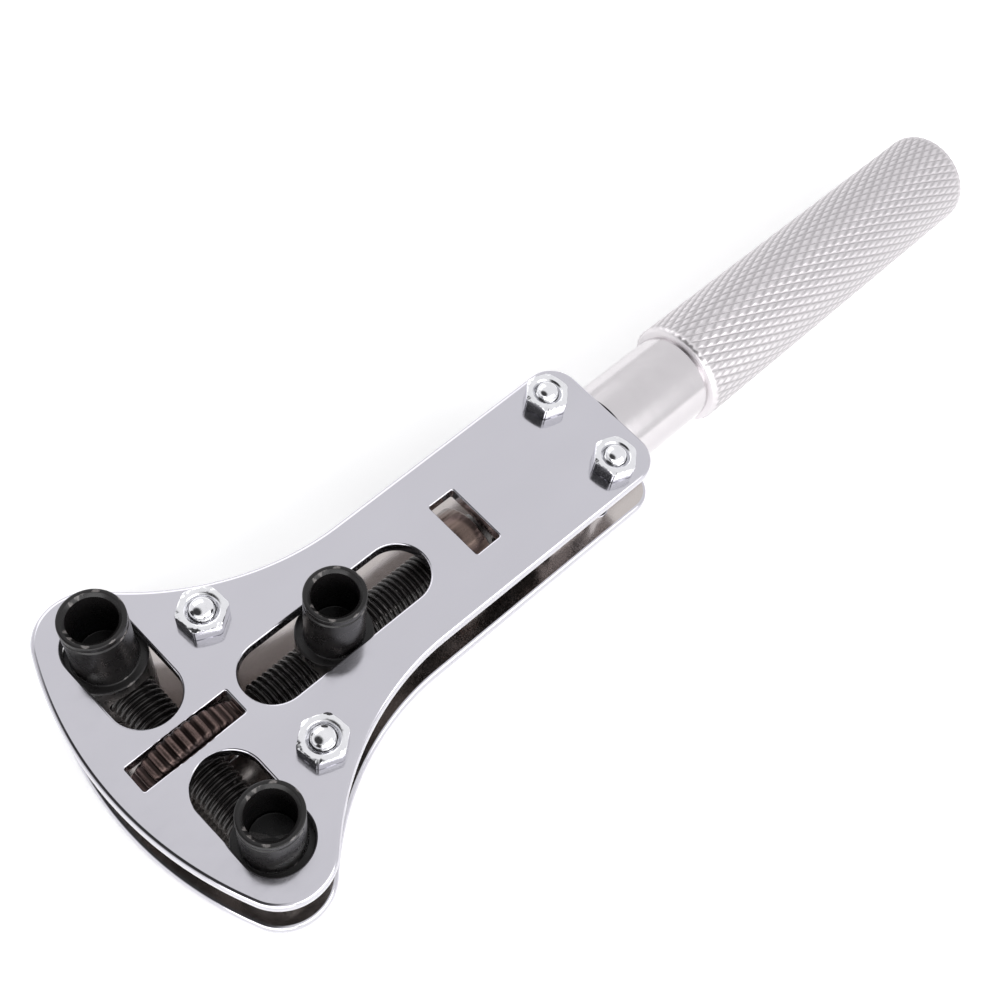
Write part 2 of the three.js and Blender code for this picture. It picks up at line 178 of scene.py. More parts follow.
class OpenerHandleSizes(bpy.types.PropertyGroup):
    """Sizes of the handle's grip, neck and tang"""

    neck_radius: length("Neck radius", 6.85 * MM, "Radius of the turned neck")
    neck_length: length("Neck length", 16.7 * MM, "From the plates to the grip")
    grip_chamfer: length("Grip chamfer", 0.9 * MM, "Chamfer at the grip's outer end")
    knurl_starts: count("Knurl starts", 38, "Diamonds round the grip")
    knurl_length: length("Knurl diamond length", 3.12 * MM, "Length of a diamond along the grip")
    knurl_depth: length("Knurl depth", 0.22 * MM, "Depth of the knurl's grooves")


class OpenerFastenerSizes(bpy.types.PropertyGroup):
    """Sizes of the bolts, nuts and spacers"""

    bolt_radius: length("Bolt radius", 1.5 * MM, "Radius over the thread")
    bolt_pitch: length("Bolt pitch", 0.5 * MM, "Pitch of the bolt's thread")
    tip_dome: length("Tip dome", 0.75 * MM, "Height of the rounded tip")
    head_slot: length("Head slot", 0.8 * MM, "Width of the driver slot")
    head_slot_depth: length("Head slot depth", 0.9 * MM, "Depth of the driver slot")
    nut_flats: length("Nut across flats", 5.6 * MM, "Width of a nut across its flats")
    nut_mouth: length("Nut mouth", 0.45 * MM, "Countersink at each end of a nut's thread")
    spacer_radius: length("Spacer radius", 3.0 * MM, "Radius of the spacers between the plates")


class OpenerPostSizes(bpy.types.PropertyGroup):
    """Sizes of the three posts"""

    tube_radius: length("Tube radius", 3.7 * MM, "Radius above the plate")
    base_radius: length("Base radius", 4.8 * MM, "Radius between the plates")
    bead_length: length("Bead length", 0.95 * MM, "Height of the bead at the mouth")
    bead_groove: length("Bead groove", 0.24 * MM, "Depth of the groove below the bead")
    socket_radius: length("Socket radius", 2.8 * MM, "Radius of the socket for a bit")
    socket_depth: length("Socket depth", 9.4 * MM, "Depth of the socket")
    mouth_chamfer: length("Mouth chamfer", 0.42 * MM, "Chamfer of the socket's mouth")


class OpenerScrewSizes(bpy.types.PropertyGroup):
    """Sizes of the two screws and their thumb wheels"""

    thread_radius: length("Thread radius", 2.85 * MM, "Radius over the crests")
    thread_depth: length("Thread depth", 0.45 * MM, "From crest to root")
    pitch: length("Pitch", 0.8 * MM, "Travel of a post in one turn")
    journal_step: length("Journal step", 0.15 * MM, "How far a journal stands out of the thread")
    tail_radius: length("Tail radius", 2.0 * MM, "Radius of the axial screw's tail")
    cross_teeth: count("Cross wheel ridges", 40, "Ridges round the cross wheel")
    axial_teeth: count("Axial wheel ridges", 36, "Ridges round the axial wheel")
    cross_ridge: length("Cross ridge depth", 0.45 * MM, "Depth of the cross wheel's grooves")
    axial_ridge: length("Axial ridge depth", 0.02 * MM, "Depth of the axial wheel's grooves")


class OpenerColours(bpy.types.PropertyGroup):
    """Colours of the finishes"""

    plated: colour("Plated steel", (0.585, 0.575, 0.618), "Outer faces and edges of the plates")
    # Painted shade: both inside colours are the plated steel darkened for the shade between the
    # plates, the front plate's inner face much darker, the rear plate's a little darker and warmer.
    rear_inside_painted_shade: colour("Rear plate inside", (0.56, 0.52, 0.50), "Inner face of the rear plate")
    front_inside_painted_shade: colour("Front plate inside", (0.26, 0.24, 0.235), "Inner face of the front plate")
    bright: colour("Bright steel", (0.80, 0.80, 0.82), "Bolts, nuts and spacers")
    aluminium: colour("Aluminium", (0.635, 0.61, 0.625), "Handle")
    blacked: colour("Blacked steel", (0.0085, 0.0078, 0.008), "Posts")
    threaded: colour("Blacked threads", (0.016, 0.0145, 0.014), "Screws")
    worn_black: colour("Worn black", (0.20, 0.185, 0.18), "Rubbed edges of blacked steel")
    browned: colour("Browned steel", (0.036, 0.025, 0.023), "Cross wheel")
    # Painted light: the axial wheel is the same browned steel as the cross wheel, made paler for
    # the light it catches.
    browned_painted_light: colour("Paler browned steel", (0.105, 0.078, 0.066), "Axial wheel")
    worn_brown: colour("Worn brown", (0.30, 0.21, 0.19), "Rubbed edges of browned steel")
    floor: colour("Floor", (0.97, 0.97, 0.97), "The surface under the tool")


class OpenerStage(bpy.types.PropertyGroup):
    """Where the camera stands and how bright the lamps are"""

    camera_place: bpy.props.FloatVectorProperty(
        name="Camera place",
        description="Place of the camera in the tool's frame",
        default=(0.04684, -0.05905, 0.15623),
        size=3,
        subtype="TRANSLATION",
    )
    camera_turn: bpy.props.FloatVectorProperty(
        name="Camera turn",
        description="Turn of the camera about X, Y and Z",
        default=tuple(math.radians(a) for a in (29.2024, -11.9214, 43.0250)),
        size=3,
        subtype="EULER",
    )
    lens: number("Lens", 45.0, "Focal length in millimetres")
    shift: bpy.props.FloatVectorProperty(
        name="Shift", description="Lens shift of the framing", default=(-0.122, 0.0193), size=2
    )
    sky: number("Sky", 0.98, "Light from all round")
    dark_way: bpy.props.FloatVectorProperty(
        name="Dark way",
        description="Way to the dark patch of the sky",
        default=(-0.15, -0.52, 0.84),
        size=3,
        subtype="DIRECTION",
    )
    dark_spread: angle("Dark spread", math.radians(28), "Half angle of the dark patch")
    dark_share: number("Dark share", 0.05, "Light of the dark patch, as a share of the sky")
    floor_glow: number("Floor glow", 0.28, "Light that the floor adds, which thins the shadow")


# ---------------------------------------------------------------- finishes


class Finish:
    """A material under construction, with short calls for the nodes that its patterns need."""

    def __init__(self, name, base, roughness, metallic=1.0):
        self.material = bpy.data.materials.new(name)
        self.material.use_nodes = True
        self.tree = self.material.node_tree
        self.shader = self.tree.nodes["Principled BSDF"]
        self.shader.inputs["Metallic"].default_value = metallic
        self.shader.inputs["Roughness"].default_value = roughness
        self.base = base
        self.place = self.node("ShaderNodeTexCoord").outputs["Object"]

    def node(self, kind, **settings):
        made = self.tree.nodes.new(kind)
        for key, value in settings.items():
            setattr(made, key, value)
        return made

    def link(self, out, socket):
        self.tree.links.new(out, socket)

    def stretched(self, scale):
        """Object coordinates in millimetres times a scale for each axis."""
        mapping = self.node("ShaderNodeMapping")
        mapping.inputs["Scale"].default_value = [s / MM for s in scale]
        self.link(self.place, mapping.inputs["Vector"])
        return mapping.outputs["Vector"]

    def noise(self, scale, detail=3.0, roughness=0.55, distortion=0.0):
        made = self.node("ShaderNodeTexNoise")
        made.inputs["Scale"].default_value = 1.0
        made.inputs["Detail"].default_value = detail
        made.inputs["Roughness"].default_value = roughness
        made.inputs["Distortion"].default_value = distortion
        self.link(self.stretched(scale), made.inputs["Vector"])
        return made.outputs["Fac"]

    def ranged(self, out, low, high, from_low=0.3, from_high=0.7):
        made = self.node("ShaderNodeMapRange")
        made.inputs["From Min"].default_value = from_low
        made.inputs["From Max"].default_value = from_high
        made.inputs["To Min"].default_value = low
        made.inputs["To Max"].default_value = high
        self.link(out, made.inputs["Value"])
        return made.outputs["Result"]

    def maths(self, operation, first, second):
        made = self.node("ShaderNodeMath", operation=operation)
        for socket, value in zip(made.inputs, (first, second)):
            if isinstance(value, (int, float)):
                socket.default_value = value
            else:
                self.link(value, socket)
        return made.outputs["Value"]

    def mixed_colours(self, share, first, second):
        made = self.node("ShaderNodeMix", data_type="RGBA")
        self.link(share, made.inputs[0])
        for socket, value in ((made.inputs[6], first), (made.inputs[7], second)):
            if isinstance(value, bpy.types.NodeSocket):
                self.link(value, socket)
            else:
                socket.default_value = (*value, 1.0)
        return made.outputs[2]

    def shade(self, factor):
        return tuple(min(1.0, c * factor) for c in self.base)

    def bumped(self, *layers):
        """Bump from (height, strength, distance in mm) layers, each on top of the one before."""
        normal = None
        for height, strength, distance in layers:
            made = self.node("ShaderNodeBump")
            made.inputs["Strength"].default_value = strength
            made.inputs["Distance"].default_value = distance * MM
            self.link(height, made.inputs["Height"])
            if normal is not None:
                self.link(normal, made.inputs["Normal"])
            normal = made.outputs["Normal"]
        self.link(normal, self.shader.inputs["Normal"])

    def coloured(self, out):
        self.link(out, self.shader.inputs["Base Color"])

    def roughened(self, out):
        self.link(out, self.shader.inputs["Roughness"])

    def raised(self, low, high):
        """1 on raised edges and 0 elsewhere, where handling wears a finish; on the knurl the low
        end also gives the grooves their painted shade.
        """
        pointiness = self.node("ShaderNodeNewGeometry").outputs["Pointiness"]
        return self.ranged(pointiness, 0.0, 1.0, low, high)


def plated_steel(name, base, rough_low, rough_high):
    """Polished and plated sheet, with faint rolling lines along it, haze and hairline scratches."""
    finish = Finish(name, base, rough_low)
    cloud = finish.noise((0.11, 0.06, 0.11), 2.0)
    haze = finish.noise((0.9, 0.5, 0.9), 4.0)
    lines = finish.noise((9.0, 0.12, 9.0), 2.0)
    across = finish.noise((0.35, 14.0, 1.0), 1.0, 0.4, 0.6)
    lengthwise = finish.noise((14.0, 0.5, 1.0), 1.0, 0.4, 0.8)
    scratches = finish.maths(
        "MAXIMUM",
        finish.ranged(across, 0.0, 1.0, 0.72, 0.78),
        finish.ranged(lengthwise, 0.0, 1.0, 0.73, 0.79),
    )
    finish.coloured(finish.mixed_colours(cloud, finish.shade(0.96), finish.shade(1.04)))
    satin = finish.ranged(haze, rough_low, rough_high)
    finish.roughened(finish.maths("ADD", satin, finish.maths("MULTIPLY", scratches, 0.08)))
    finish.bumped((lines, 0.04, 0.015), (scratches, 0.03, 0.01))
    return finish.material


def bright_steel(name, base):
    """Small plated hardware: bright, with tumbling marks."""
    finish = Finish(name, base, 0.12)
    cloud = finish.noise((0.9, 0.9, 0.9), 3.0)
    marks = finish.noise((5.0, 5.0, 5.0), 4.0)
    finish.coloured(finish.mixed_colours(cloud, finish.shade(0.9), finish.shade(1.1)))
    finish.roughened(finish.ranged(marks, 0.07, 0.19))
    finish.bumped((marks, 0.06, 0.03))
    return finish.material


def turned_aluminium(name, base, rough_low, rough_high):
    """Turned aluminium: fine tool rings round the handle's axis, and a soft haze."""
    finish = Finish(name, base, rough_low)
    haze = finish.noise((0.35, 0.35, 0.35), 3.0)
    rings = finish.noise((0.02, 9.0, 0.02), 3.0, 0.7)
    coarse = finish.noise((0.05, 1.4, 0.05), 2.0)
    finish.coloured(finish.mixed_colours(haze, finish.shade(0.95), finish.shade(1.05)))
    finish.roughened(finish.ranged(rings, rough_low, rough_high))
    finish.bumped((rings, 0.10, 0.02), (coarse, 0.05, 0.03))
    return finish.material


def knurled_aluminium(name, base):
    """Knurled aluminium: grooves a little dull and darker as painted shade, crests paler where
    burnished by the hand.
    """
    finish = Finish(name, base, 0.3)
    raised_share = finish.raised(0.485, 0.53)
    grain = finish.noise((3.0, 3.0, 3.0), 4.0)
    # Darker in the grooves is painted shade; paler on the crests is burnished wear.
    finish.coloured(finish.mixed_colours(raised_share, finish.shade(0.80), finish.shade(1.12)))
    finish.roughened(finish.ranged(raised_share, 0.50, 0.36, 0.0, 1.0))
    finish.bumped((grain, 0.10, 0.03))
    return finish.material


def oxide_steel(name, base, worn_base, rough_low, rough_high, metallic):
    """Blacked or browned steel: patchy oxide, turning marks and paler worn edges."""
    finish = Finish(name, base, rough_low, metallic)
    finish.shader.inputs["Specular IOR Level"].default_value = 0.35
    patches = finish.noise((0.7, 0.7, 0.7), 4.0)
    grain = finish.noise((6.0, 6.0, 6.0), 4.0)
    rings = finish.noise((0.3, 0.3, 8.0), 2.0)
    raised_share = finish.maths("MULTIPLY", finish.raised(0.53, 0.60), finish.ranged(grain, 0.3, 1.0))
    oxide = finish.mixed_colours(patches, finish.shade(0.75), finish.shade(1.35))
    finish.coloured(finish.mixed_colours(raised_share, oxide, worn_base))
    finish.roughened(finish.ranged(patches, rough_low, rough_high))
    finish.bumped((grain, 0.12, 0.04), (rings, 0.05, 0.02))
    return finish.material


def finishes():
    """Every finish by name, made once."""
    made = bpy.context.scene.get("opener_finishes")
    if made:
        return {name: bpy.data.materials[full] for name, full in made.items()}
    tint = bpy.context.scene.opener_colours
    black, brown = tint.worn_black, tint.worn_brown
    found = {
        "plated": plated_steel("plated_steel", tint.plated, 0.10, 0.17),
        # Painted shade: the two inside finishes are darkened copies of the plated steel, for the
        # shade between the plates.
        "rear_inside_painted_shade": plated_steel("rear_plate_inside_painted_shade", tint.rear_inside_painted_shade, 0.12, 0.18),
        "front_inside_painted_shade": plated_steel("front_plate_inside_painted_shade", tint.front_inside_painted_shade, 0.12, 0.18),
        "bright": bright_steel("bright_steel", tint.bright),
        "turned": turned_aluminium("turned_aluminium", tint.aluminium, 0.14, 0.24),
        "knurled": knurled_aluminium("knurled_aluminium", tint.aluminium),
        "blacked": oxide_steel("blacked_steel", tint.blacked, black, 0.22, 0.36, 0.0),
        "threaded": oxide_steel("blacked_screws", tint.threaded, black, 0.16, 0.28, 0.3),
        "browned": oxide_steel("browned_steel", tint.browned, brown, 0.30, 0.45, 0.85),
        # Painted light: a paler copy of the browned steel, for the axial wheel.
        "browned_painted_light": oxide_steel("browned_painted_light", tint.browned_painted_light, brown, 0.24, 0.34, 0.9),
    }
    bpy.context.scene["opener_finishes"] = {name: m.name for name, m in found.items()}
    return found


# ---------------------------------------------------------------- meshes


def new_piece(name, points, faces, finish_names, face_finishes=None, sharp=SHARP_EDGE):
    """A piece from points in metres and its finishes, smooth in the light up to a sharp edge."""
    merge = 1e-7
    mesh = bpy.data.meshes.new(name)
    mesh.from_pydata([tuple(p) for p in points], [], faces)
    table = finishes()
    for finish in finish_names:
        mesh.materials.append(table[finish])
    if face_finishes:
        mesh.polygons.foreach_set("material_index", face_finishes)
    cleaned = bmesh.new()
    cleaned.from_mesh(mesh)
    bmesh.ops.remove_doubles(cleaned, verts=cleaned.verts, dist=merge)
    bmesh.ops.dissolve_degenerate(cleaned, edges=cleaned.edges, dist=merge)
    bmesh.ops.recalc_face_normals(cleaned, faces=cleaned.faces)
    cleaned.to_mesh(mesh)
    cleaned.free()
    piece = bpy.data.objects.new(name, mesh)
    bpy.context.scene.collection.objects.link(piece)
    soften(piece, sharp)
    return piece


def soften(piece, sharp):
    piece.data.shade_smooth()
    piece.data.set_sharp_from_angle(angle=sharp)


def weighted(piece):
    """Flat faces stay flat in the light beside the rounds of their edges."""
    modifier = piece.modifiers.new("Flat faces lead", "WEIGHTED_NORMAL")
    modifier.keep_sharp = True
    modifier.weight = 100


def applied(piece):
    """Puts the piece's modifiers into its mesh."""
    bpy.context.view_layer.update()
    result = piece.evaluated_get(bpy.context.evaluated_depsgraph_get())
    mesh = bpy.data.meshes.new_from_object(result)
    old = piece.data
    piece.modifiers.clear()
    piece.data = mesh
    bpy.data.meshes.remove(old)
    mesh.name = piece.name


def cut(piece, tools):
    """Cuts tool pieces out of a piece and throws the tools away."""
    for tool in tools:
        modifier = piece.modifiers.new("Cut", "BOOLEAN")
        modifier.operation = "DIFFERENCE"
        modifier.solver = "EXACT"
        modifier.object = tool
    applied(piece)
    for tool in tools:
        mesh = tool.data
        bpy.data.objects.remove(tool)
        bpy.data.meshes.remove(mesh)
    soften(piece, SHARP_EDGE)


def settle(piece, node, body):
    """The piece stands for a node of the frame and rides on its body."""
    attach(piece, body)
    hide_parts(node)


def filleted(corners, steps=4):
    """A path through (x, y, radius) corners, each rounded by an arc of that radius."""
    path = []
    for index, (x, y, radius) in enumerate(corners):
        here = Vector((x, y))
        if radius <= 0 or index in (0, len(corners) - 1):
            path.append(here)
            continue
        back = Vector(corners[index - 1][:2]) - here
        ahead = Vector(corners[index + 1][:2]) - here
        half = back.angle(ahead) / 2
        reach = min(radius / math.tan(half), back.length * 0.49, ahead.length * 0.49)
        start = here + back.normalized() * reach
        end = here + ahead.normalized() * reach
        for step in range(steps + 1):
            t = step / steps
            path.append(start * (1 - t) ** 2 + here * 2 * t * (1 - t) + end * t * t)
    return path


def placed(axis, centre):
    """Turns (along, cos part, sin part) about an axis through a centre into a point."""
    orders = {
        "X": lambda a, c, s: Vector((a, c, s)),
        "Y": lambda a, c, s: Vector((s, a, c)),
        "Z": lambda a, c, s: Vector((c, s, a)),
    }
    return lambda a, c, s: centre + orders[axis](a, c, s)


def turned_surface(rows, sides, axis, centre, closed_loop=False):
    """Points and faces of rows of (along, radius), each a number or a rule of the angle.
    The ends are closed by flat faces, unless the rows make a closed loop, as round a ring."""
    put = placed(axis, Vector(centre))
    points, faces = [], []
    for along, radius in rows:
        for side in range(sides):
            turn = TURN * side / sides
            r = radius(turn) if callable(radius) else radius
            a = along(turn) if callable(along) else along
            points.append(put(a, r * math.cos(turn), r * math.sin(turn)))
    last = len(rows) if closed_loop else len(rows) - 1
    for row in range(last):
        low, high = row * sides, (row + 1) % len(rows) * sides
        for side in range(sides):
            ahead = (side + 1) % sides
            faces.append((low + side, low + ahead, high + ahead, high + side))
    if not closed_loop:
        faces.append(tuple(reversed(range(sides))))
        faces.append(tuple(range((len(rows) - 1) * sides, len(rows) * sides)))
    return points, faces


def turned_piece(name, profile, sides, axis, centre, finish, closed_loop=False):
    """A piece turned from a profile of (radius, along) points."""
    rows = [(along, radius) for radius, along in profile]
    points, faces = turned_surface(rows, sides, axis, centre, closed_loop)
    return new_piece(name, points, faces, [finish])


def thread_radius_at(along, turn, hand, pitch, crest, depth):
    """Radius of a V thread with a narrow flat crest and a rounded root."""
    root_share, flank_share = 0.10, 0.76
    phase = (along / pitch - hand * turn / TURN) % 1.0
    slope = abs(2 * phase - 1)
    share = min(1.0, max(0.0, (slope - root_share) / flank_share))
    return crest - depth * (1 - share * share * (3 - 2 * share))


# ---------------------------------------------------------------- plates


def arc(centre, radius, start, end, step=math.radians(3)):
    steps = max(4, math.ceil(abs(end - start) / step))
    path = []
    for index in range(steps + 1):
        turn = start + (end - start) * index / steps
        x, y = radius * math.cos(turn), radius * math.sin(turn)
        path.append(Vector((centre[0] + x, centre[1] + y)))
    return path


def without_repeats(path):
    """The path as a loop, with points that lie on one another kept once."""
    same = 1e-6
    kept = []
    for point in path:
        if not kept or (point - kept[-1]).length > same:
            kept.append(point)
    if (kept[0] - kept[-1]).length < same:
        kept.pop()
    return kept


def plate_outline(size, end_y):
    """Anticlockwise: bottom arc, right lobe, right flank and handle end, then its mirror image.
    Both plates share their flanks, and each has its own end at the handle."""
    lobe_y = CROSS_Y - size.lobe_drop
    lobe_x = PLATE_HIGH.x - size.lobe_radius
    reach = size.bottom_radius - size.lobe_radius
    bottom_y = lobe_y + math.sqrt(reach**2 - lobe_x**2)
    down = Vector((-math.sin(size.neck_taper), -math.cos(size.neck_taper)))
    out = Vector((math.cos(size.neck_taper), -math.sin(size.neck_taper)))
    start = Vector((size.end_half_width, PLATE_HIGH.y)) + out * size.flank_radius
    from_lobe = start - Vector((lobe_x, lobe_y))
    half = from_lobe.dot(down)
    rest = from_lobe.length_squared - (size.flank_radius + size.lobe_radius) ** 2
    flank = start + down * (-half - math.sqrt(half**2 - rest))
    to_lobe = math.atan2(lobe_y - flank.y, lobe_x - flank.x)
    lobe_low = math.atan2(lobe_y - bottom_y, lobe_x)
    corner_x = size.end_half_width - size.end_corner
    corner_y = end_y - size.end_corner
    fine = math.radians(1)
    right = arc((0, bottom_y), size.bottom_radius, -math.pi / 2, lobe_low, fine)
    right += arc((lobe_x, lobe_y), size.lobe_radius, lobe_low, to_lobe + math.pi)
    right += arc(flank, size.flank_radius, to_lobe + TURN, math.pi - size.neck_taper, fine)
    right += arc((corner_x, corner_y), size.end_corner, -size.neck_taper, math.pi / 2)
    left = [Vector((-p.x, p.y)) for p in reversed(right)]
    return without_repeats(right + left)


def round_hole(x, y, radius):
    return without_repeats(arc((x, y), radius, 0, TURN, math.radians(7)))


def window_hole(x, y, half_x, half_y, corner):
    path = []
    for quarter, (side_x, side_y) in enumerate(((1, 1), (-1, 1), (-1, -1), (1, -1))):
        centre = (x + side_x * (half_x - corner), y + side_y * (half_y - corner))
        start = quarter * math.pi / 2
        path += arc(centre, corner, start, start + math.pi / 2, math.radians(20))
    return without_repeats(path)


def slot_hole(start, end, radius):
    """A slot between the centres of its two round ends, anticlockwise."""
    along = math.atan2(end[1] - start[1], end[0] - start[0])
    path = arc(end, radius, along - math.pi / 2, along + math.pi / 2, math.radians(5))
    path += arc(start, radius, along + math.pi / 2, along + 1.5 * math.pi, math.radians(5))
    return without_repeats(path)


def cross_window_half(size):
    """Half the window's length: the wheel's half chord at the plate's inner face, and room."""
    radius = span("cross_wheel").z / 2
    inner = PLATE_LOW.z - SCREW_Z
    return math.sqrt(radius**2 - inner**2) + size.window_end_gap


def plate_holes(size, slots):
    """Loops of the holes: bolts, the two wheels' windows and, if wanted, the three post slots."""
    bolt = bpy.context.scene.opener_fasteners.bolt_radius + BOLT_GAP
    holes = [round_hole(middle("nut_" + p).x, middle("nut_" + p).y, bolt) for p in BOLT_PLACES]
    axial_y = middle("axial_wheel").y
    cross_half_x = span("cross_wheel").x / 2 + size.window_gap
    cross_half_y = cross_window_half(size)
    axial_half_x = size.axial_window / 2
    axial_half_y = span("axial_wheel").y / 2 + size.window_gap
    holes.append(window_hole(0, CROSS_Y, cross_half_x, cross_half_y, size.window_corner))
    holes.append(window_hole(0, axial_y, axial_half_x, axial_half_y, size.window_corner))
    if slots:
        r = bpy.context.scene.opener_posts.tube_radius + size.slot_side_gap
        inner = cross_half_x + size.slot_web + r
        outer = PLATE_HIGH.x - size.side_slot_rim - r
        low = CROSS_Y + cross_half_y + size.slot_web + r
        high = axial_y - axial_half_y - size.top_slot_web - r
        holes.append(slot_hole((inner, CROSS_Y), (outer, CROSS_Y), r))
        holes.append(slot_hole((-outer, CROSS_Y), (-inner, CROSS_Y), r))
        holes.append(slot_hole((0, low), (0, high), r))
    return holes


def side_normals(loop):
    """Outward normal at each point of an anticlockwise loop, from its two neighbours."""
    sharpest = 0.5
    normals = []
    for index, here in enumerate(loop):
        ahead = (loop[(index + 1) % len(loop)] - here).normalized()
        back = (here - loop[index - 1]).normalized()
        along = (ahead + back).normalized()
        stretch = 1 / max(sharpest, along.dot(ahead))
        normals.append(Vector((along.y, -along.x)) * stretch)
    return normals


def edge_rings(loop, size_round, low, high, into, steps=4):
    """Rings of points down the side of a loop, with a quarter round at both faces."""
    normals = side_normals(loop)
    rings = []
    for step in range(steps + 1):
        turn = math.pi / 2 * step / steps
        inset = size_round * (1 - math.sin(turn)) * into
        drop = size_round * (1 - math.cos(turn))
        rings.append([(p - n * inset, high - drop) for p, n in zip(loop, normals)])
    for ring in reversed(rings[:]):
        rings.append([(p, low + high - z) for p, z in ring])
    return [[Vector((p.x, p.y, z)) for p, z in ring] for ring in rings]


def make_plate(node, size, slots, inside_up, inside_finish):
    """Rolled and broken edges round the outline and every hole, closed by two flat faces."""
    level = 0.999
    low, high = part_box(node)
    loops = [(plate_outline(size, high.y), size.edge_round, 1)]
    loops += [(hole, size.hole_round, -1) for hole in plate_holes(size, slots)]
    points, faces, face_finishes = [], [], []
    top_loops, low_loops = [], []
    for loop, rounding, into in loops:
        rings = edge_rings(loop, rounding, low.z, high.z, into)
        sides = len(loop)
        first = len(points)
        for ring in rings:
            points.extend(ring)
        for row in range(len(rings) - 1):
            for side in range(sides):
                ahead = (side + 1) % sides
                a, b = first + row * sides, first + (row + 1) * sides
                faces.append((a + side, b + side, b + ahead, a + ahead))
                face_finishes.append(0)
        top_loops.append(list(range(first, first + sides)))
        last = first + (len(rings) - 1) * sides
        low_loops.append(list(range(last, last + sides)))
    # The inner face takes the inside finish, whose colour is painted shade.
    for wanted, inside in ((top_loops, inside_up), (low_loops, not inside_up)):
        order = [index for loop in wanted for index in loop]
        flat = [[Vector((points[i].x, points[i].y, 0)) for i in loop] for loop in wanted]
        for triangle in tessellate_polygon(flat):
            faces.append(tuple(order[i] for i in triangle))
            face_finishes.append(int(inside))
    piece = new_piece(node + "_sheet", points, faces, ["plated", inside_finish], face_finishes)
    for face in piece.data.polygons:
        face.use_smooth = abs(face.normal.z) < level
    weighted(piece)
    settle(piece, node, "frame")


class OPENER_OT_plates(bpy.types.Operator):
    """Make the front and rear plates, with rolled edges, slots and windows"""

    bl_idname = "opener.plates"
    bl_label = "Plates"

    def execute(self, context):
        size = context.scene.opener_plates
        # Each plate's inner face gets a darkened copy of the plated steel, as painted shade.
        make_plate("front_plate", size, True, False, "front_inside_painted_shade")
        make_plate("rear_plate", size, False, True, "rear_inside_painted_shade")
        return {"FINISHED"}


# ---------------------------------------------------------------- handle

GRID_PER_DIAMOND = 10
NECK_SIDES = 128


def grip_start(size):
    """How far along the handle the neck ends and the grip begins."""
    return PLATE_HIGH.y + FACE_GAP + size.neck_length


def knurl_height(round_share, along_share):
    """0 in the grooves and 1 on the diamonds' tips, for shares of a diamond each way."""
    flank_share = 0.82
    swell = 0.45
    heights = []
    for phase in (round_share + along_share, round_share - along_share):
        slope = 1 - abs(2 * (phase % 1.0) - 1)
        heights.append(min(1.0, slope / flank_share))
    low = min(heights)
    return low * (2 - low) * swell + low * (1 - swell)


def grip_surface(size, low, high, radius, centre):
    """The knurled barrel as a fine grid, its lines lying along the grooves."""
    chamfer = size.grip_chamfer
    columns = size.knurl_starts * GRID_PER_DIAMOND
    barrel = high - low - chamfer * 1.5
    rows = round(barrel / size.knurl_length) * GRID_PER_DIAMOND
    inner_end = (
        (low, radius * 0.55),
        (low, radius - chamfer * 0.55),
        (low + 0.12 * MM, radius - chamfer * 0.42),
    )
    outer_end = (
        (high - 0.25 * MM, radius - chamfer * 0.80),
        (high - 0.06 * MM, radius - chamfer),
        (high, radius - chamfer - 0.15 * MM),
        (high, radius * 0.25),
    )
    put = placed("Y", Vector((centre.x, 0, centre.z)))
    points, faces = [], []

    def ring(along, rule):
        for column in range(columns):
            turn = TURN * column / columns
            r = rule(column)
            points.append(put(along, r * math.cos(turn), r * math.sin(turn)))

    start = low + chamfer * 0.5
    fade = 0.5 * GRID_PER_DIAMOND
    end_depth = 0.35
    for along, r in inner_end:
        ring(along, lambda column, r=r: r)
    for row in range(rows + 1):
        near_end = min(1.0, (rows - row) / fade, (row + 1) / fade)
        sunk = size.knurl_depth * (end_depth + (1 - end_depth) * near_end)

        def rule(column, row=row, sunk=sunk):
            raised = knurl_height(column / GRID_PER_DIAMOND, row / GRID_PER_DIAMOND)
            return radius - sunk * (1 - raised)

        ring(start + barrel * row / rows, rule)
    for along, r in outer_end:
        ring(along, lambda column, r=r: r)
    total = len(points) // columns
    for row in range(total - 1):
        for column in range(columns):
            ahead = (column + 1) % columns
            a, b = row * columns, (row + 1) * columns
            quad = (a + column, a + ahead, b + ahead, b + column)
            faces.append(quad[:3])
            faces.append((quad[0], quad[2], quad[3]))
    faces.append(tuple(reversed(range(columns))))
    faces.append(tuple(range((total - 1) * columns, total * columns)))
    return points, faces


